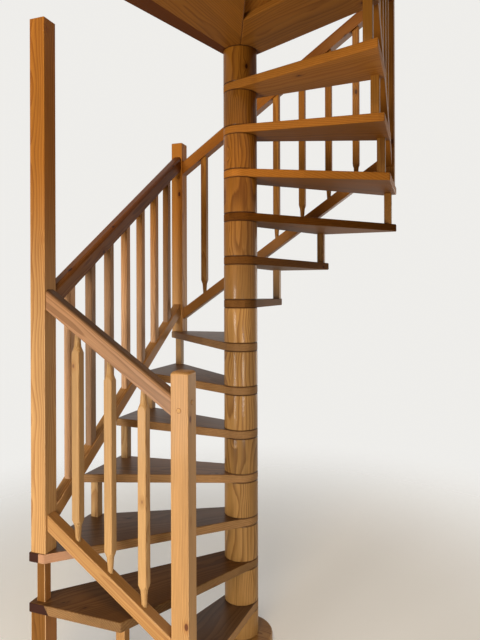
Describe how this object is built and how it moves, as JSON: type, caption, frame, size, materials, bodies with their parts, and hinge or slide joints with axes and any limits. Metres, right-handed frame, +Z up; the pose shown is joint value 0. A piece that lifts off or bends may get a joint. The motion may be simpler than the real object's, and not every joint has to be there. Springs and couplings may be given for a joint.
{
  "type": "spiral staircase on a square plan with a drum newel",
  "caption": "Pine spiral staircase: wedge treads clamped between turned drums, filling a square plan, with spindles, corner posts, sloping balustrades and a corner landing.",
  "frame": {"origin": "centre of the foot disc's underside, on the floor, on the column's axis", "axes": "+Z up the column; -Y towards the front side, where the start post stands and the climb begins; +X to the right of someone who faces that side from outside"},
  "size_m": [1.324, 1.324, 3.947],
  "materials": {
    "tread_pine": "clear satin varnish on pine",
    "drum_pine": "clear satin varnish on pine",
    "post_pine": "clear satin varnish on pine",
    "handrail_pine": "clear satin varnish on pine",
    "panel_pine": "clear satin varnish on pine"
  },
  "bodies": {
    "root": {"tread_01": "tread_pine", "tread_02": "tread_pine", "tread_03": "tread_pine", "tread_04": "tread_pine", "tread_05": "tread_pine", "tread_06": "tread_pine", "tread_07": "tread_pine", "tread_08": "tread_pine", "tread_09": "tread_pine", "tread_10": "tread_pine", "tread_11": "tread_pine", "tread_12": "tread_pine", "tread_13": "tread_pine", "landing_board": "tread_pine", "landing_wedge": "tread_pine", "landing_infill": "tread_pine", "column_drums": "drum_pine", "foot_disc": "drum_pine", "corner_leg": "post_pine", "start_post": "post_pine", "tall_post": "post_pine", "back_left_post": "post_pine", "back_right_post": "post_pine", "landing_post": "post_pine", "spindles_front": "post_pine", "spindles_left": "post_pine", "spindles_back": "post_pine", "spindles_right": "post_pine", "front_handrail": "handrail_pine", "left_handrail": "handrail_pine", "back_handrail": "handrail_pine", "right_handrail": "handrail_pine", "front_bottom_rail": "panel_pine", "left_bottom_rail": "panel_pine", "back_bottom_rail": "panel_pine", "right_bottom_rail": "panel_pine", "front_balusters": "panel_pine", "left_balusters": "panel_pine", "back_balusters": "panel_pine", "right_balusters": "panel_pine"}
  },
  "joints": []
}
